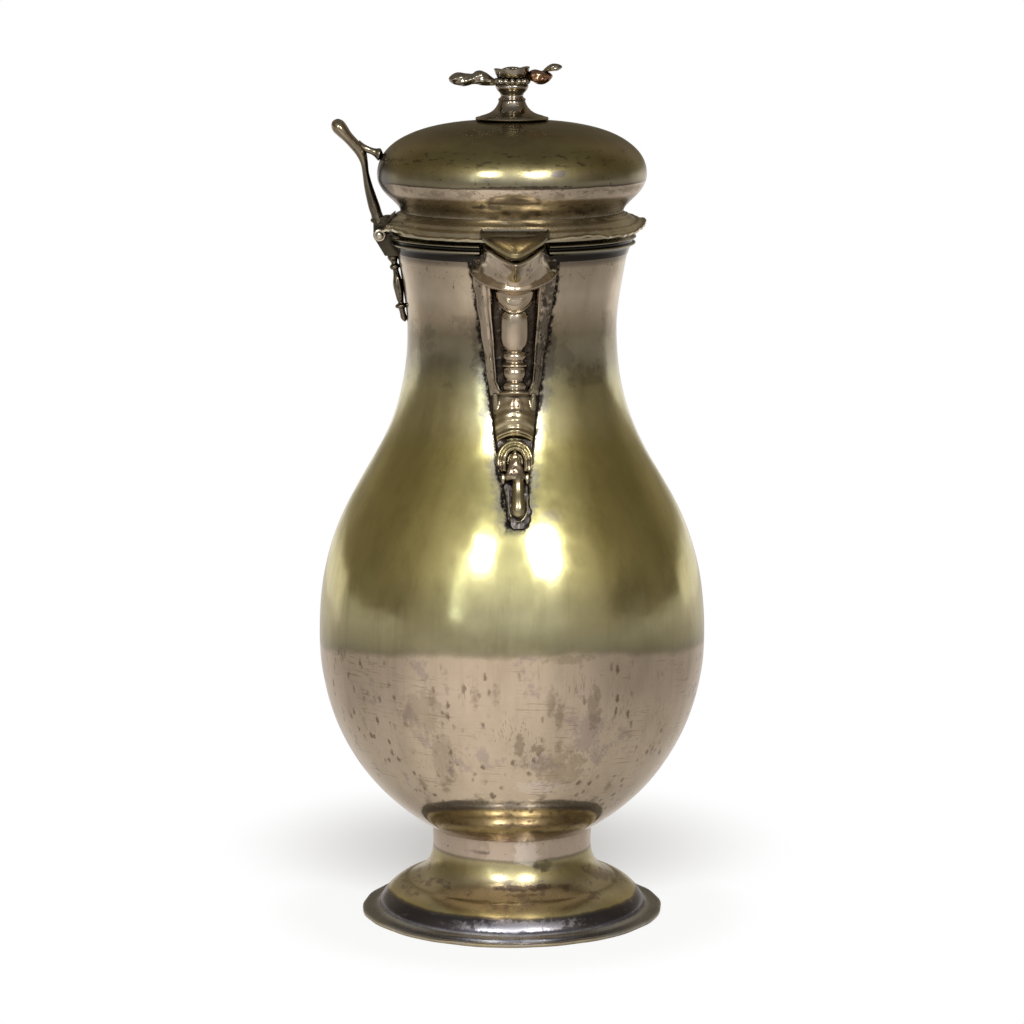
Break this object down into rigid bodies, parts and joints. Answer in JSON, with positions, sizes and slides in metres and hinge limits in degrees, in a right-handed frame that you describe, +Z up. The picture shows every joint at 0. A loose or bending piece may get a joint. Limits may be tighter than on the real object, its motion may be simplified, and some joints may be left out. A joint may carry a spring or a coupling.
{
  "type": "chocolate pot",
  "caption": "Pear-shaped silver chocolate pot with domed foot, beaked spout, hinged domed lid with thumbpiece, lift-off finial over the stirrer hole and a wooden handle.",
  "frame": {"origin": "centre of the foot's resting face", "axes": "+Z up along the pot's axis, -Y towards the spout, -X towards the lid's hinge, +Y towards the handle"},
  "size_m": [0.1324, 0.1632, 0.2916],
  "materials": {
    "raised_silver": "tarnished silver, golden above the belly and pinkish grey below, with spots and fine scratches",
    "foot_silver": "tarnished silver with dark rubbed edge",
    "lid_silver": "tarnished silver, dark golden on the dome and grey at the waist",
    "cast_silver": "cast and chased silver with black tarnish in the hollows",
    "finial_silver": "cast silver, dark in the hollows, coppery on two petals",
    "pin_silver": "drawn silver wire, rubbed bright",
    "handle_wood": "dark polished fruitwood"
  },
  "bodies": {
    "pot": {"body_shell": "raised_silver", "foot_dome": "foot_silver", "foot_brim": "foot_silver", "rim_moulding": "cast_silver", "spout_beak": "cast_silver", "spout_backplate": "cast_silver", "spout_rails": "cast_silver", "spout_column": "cast_silver", "spout_knops": "cast_silver", "spout_bell": "cast_silver", "spout_shell": "cast_silver", "spout_drop": "cast_silver", "hinge_lower_leaf": "cast_silver", "hinge_pin": "pin_silver", "hinge_drop": "cast_silver", "handle_grip": "handle_wood", "handle_socket_upper": "cast_silver", "handle_socket_lower": "cast_silver", "handle_pin_upper": "pin_silver", "handle_pin_lower": "pin_silver"},
    "lid": {"lid_dome": "lid_silver", "lid_flange": "lid_silver", "lid_bezel": "lid_silver", "molinet_ring": "lid_silver", "spout_flap": "cast_silver", "lid_hinge_leaf": "cast_silver", "thumbpiece": "cast_silver", "thumb_brace": "cast_silver"},
    "finial": {"finial_disc": "finial_silver", "plug_collar": "finial_silver", "finial_rivet": "finial_silver", "finial_cup": "finial_silver", "finial_calyx": "finial_silver", "finial_flower": "finial_silver", "finial_leaf_left": "finial_silver", "finial_leaf_right": "finial_silver"}
  },
  "joints": [
    {"name": "lid_hinge", "type": "hinge", "parent": "pot", "child": "lid", "pos_m": [-0.0447, 0, 0.2356], "axis": [0, -1, 0], "range_deg": [0, 105]},
    {"name": "finial_lift", "type": "slide", "parent": "lid", "child": "finial", "axis": [0, 0, 1], "range_m": [0, 0.03]}
  ]
}
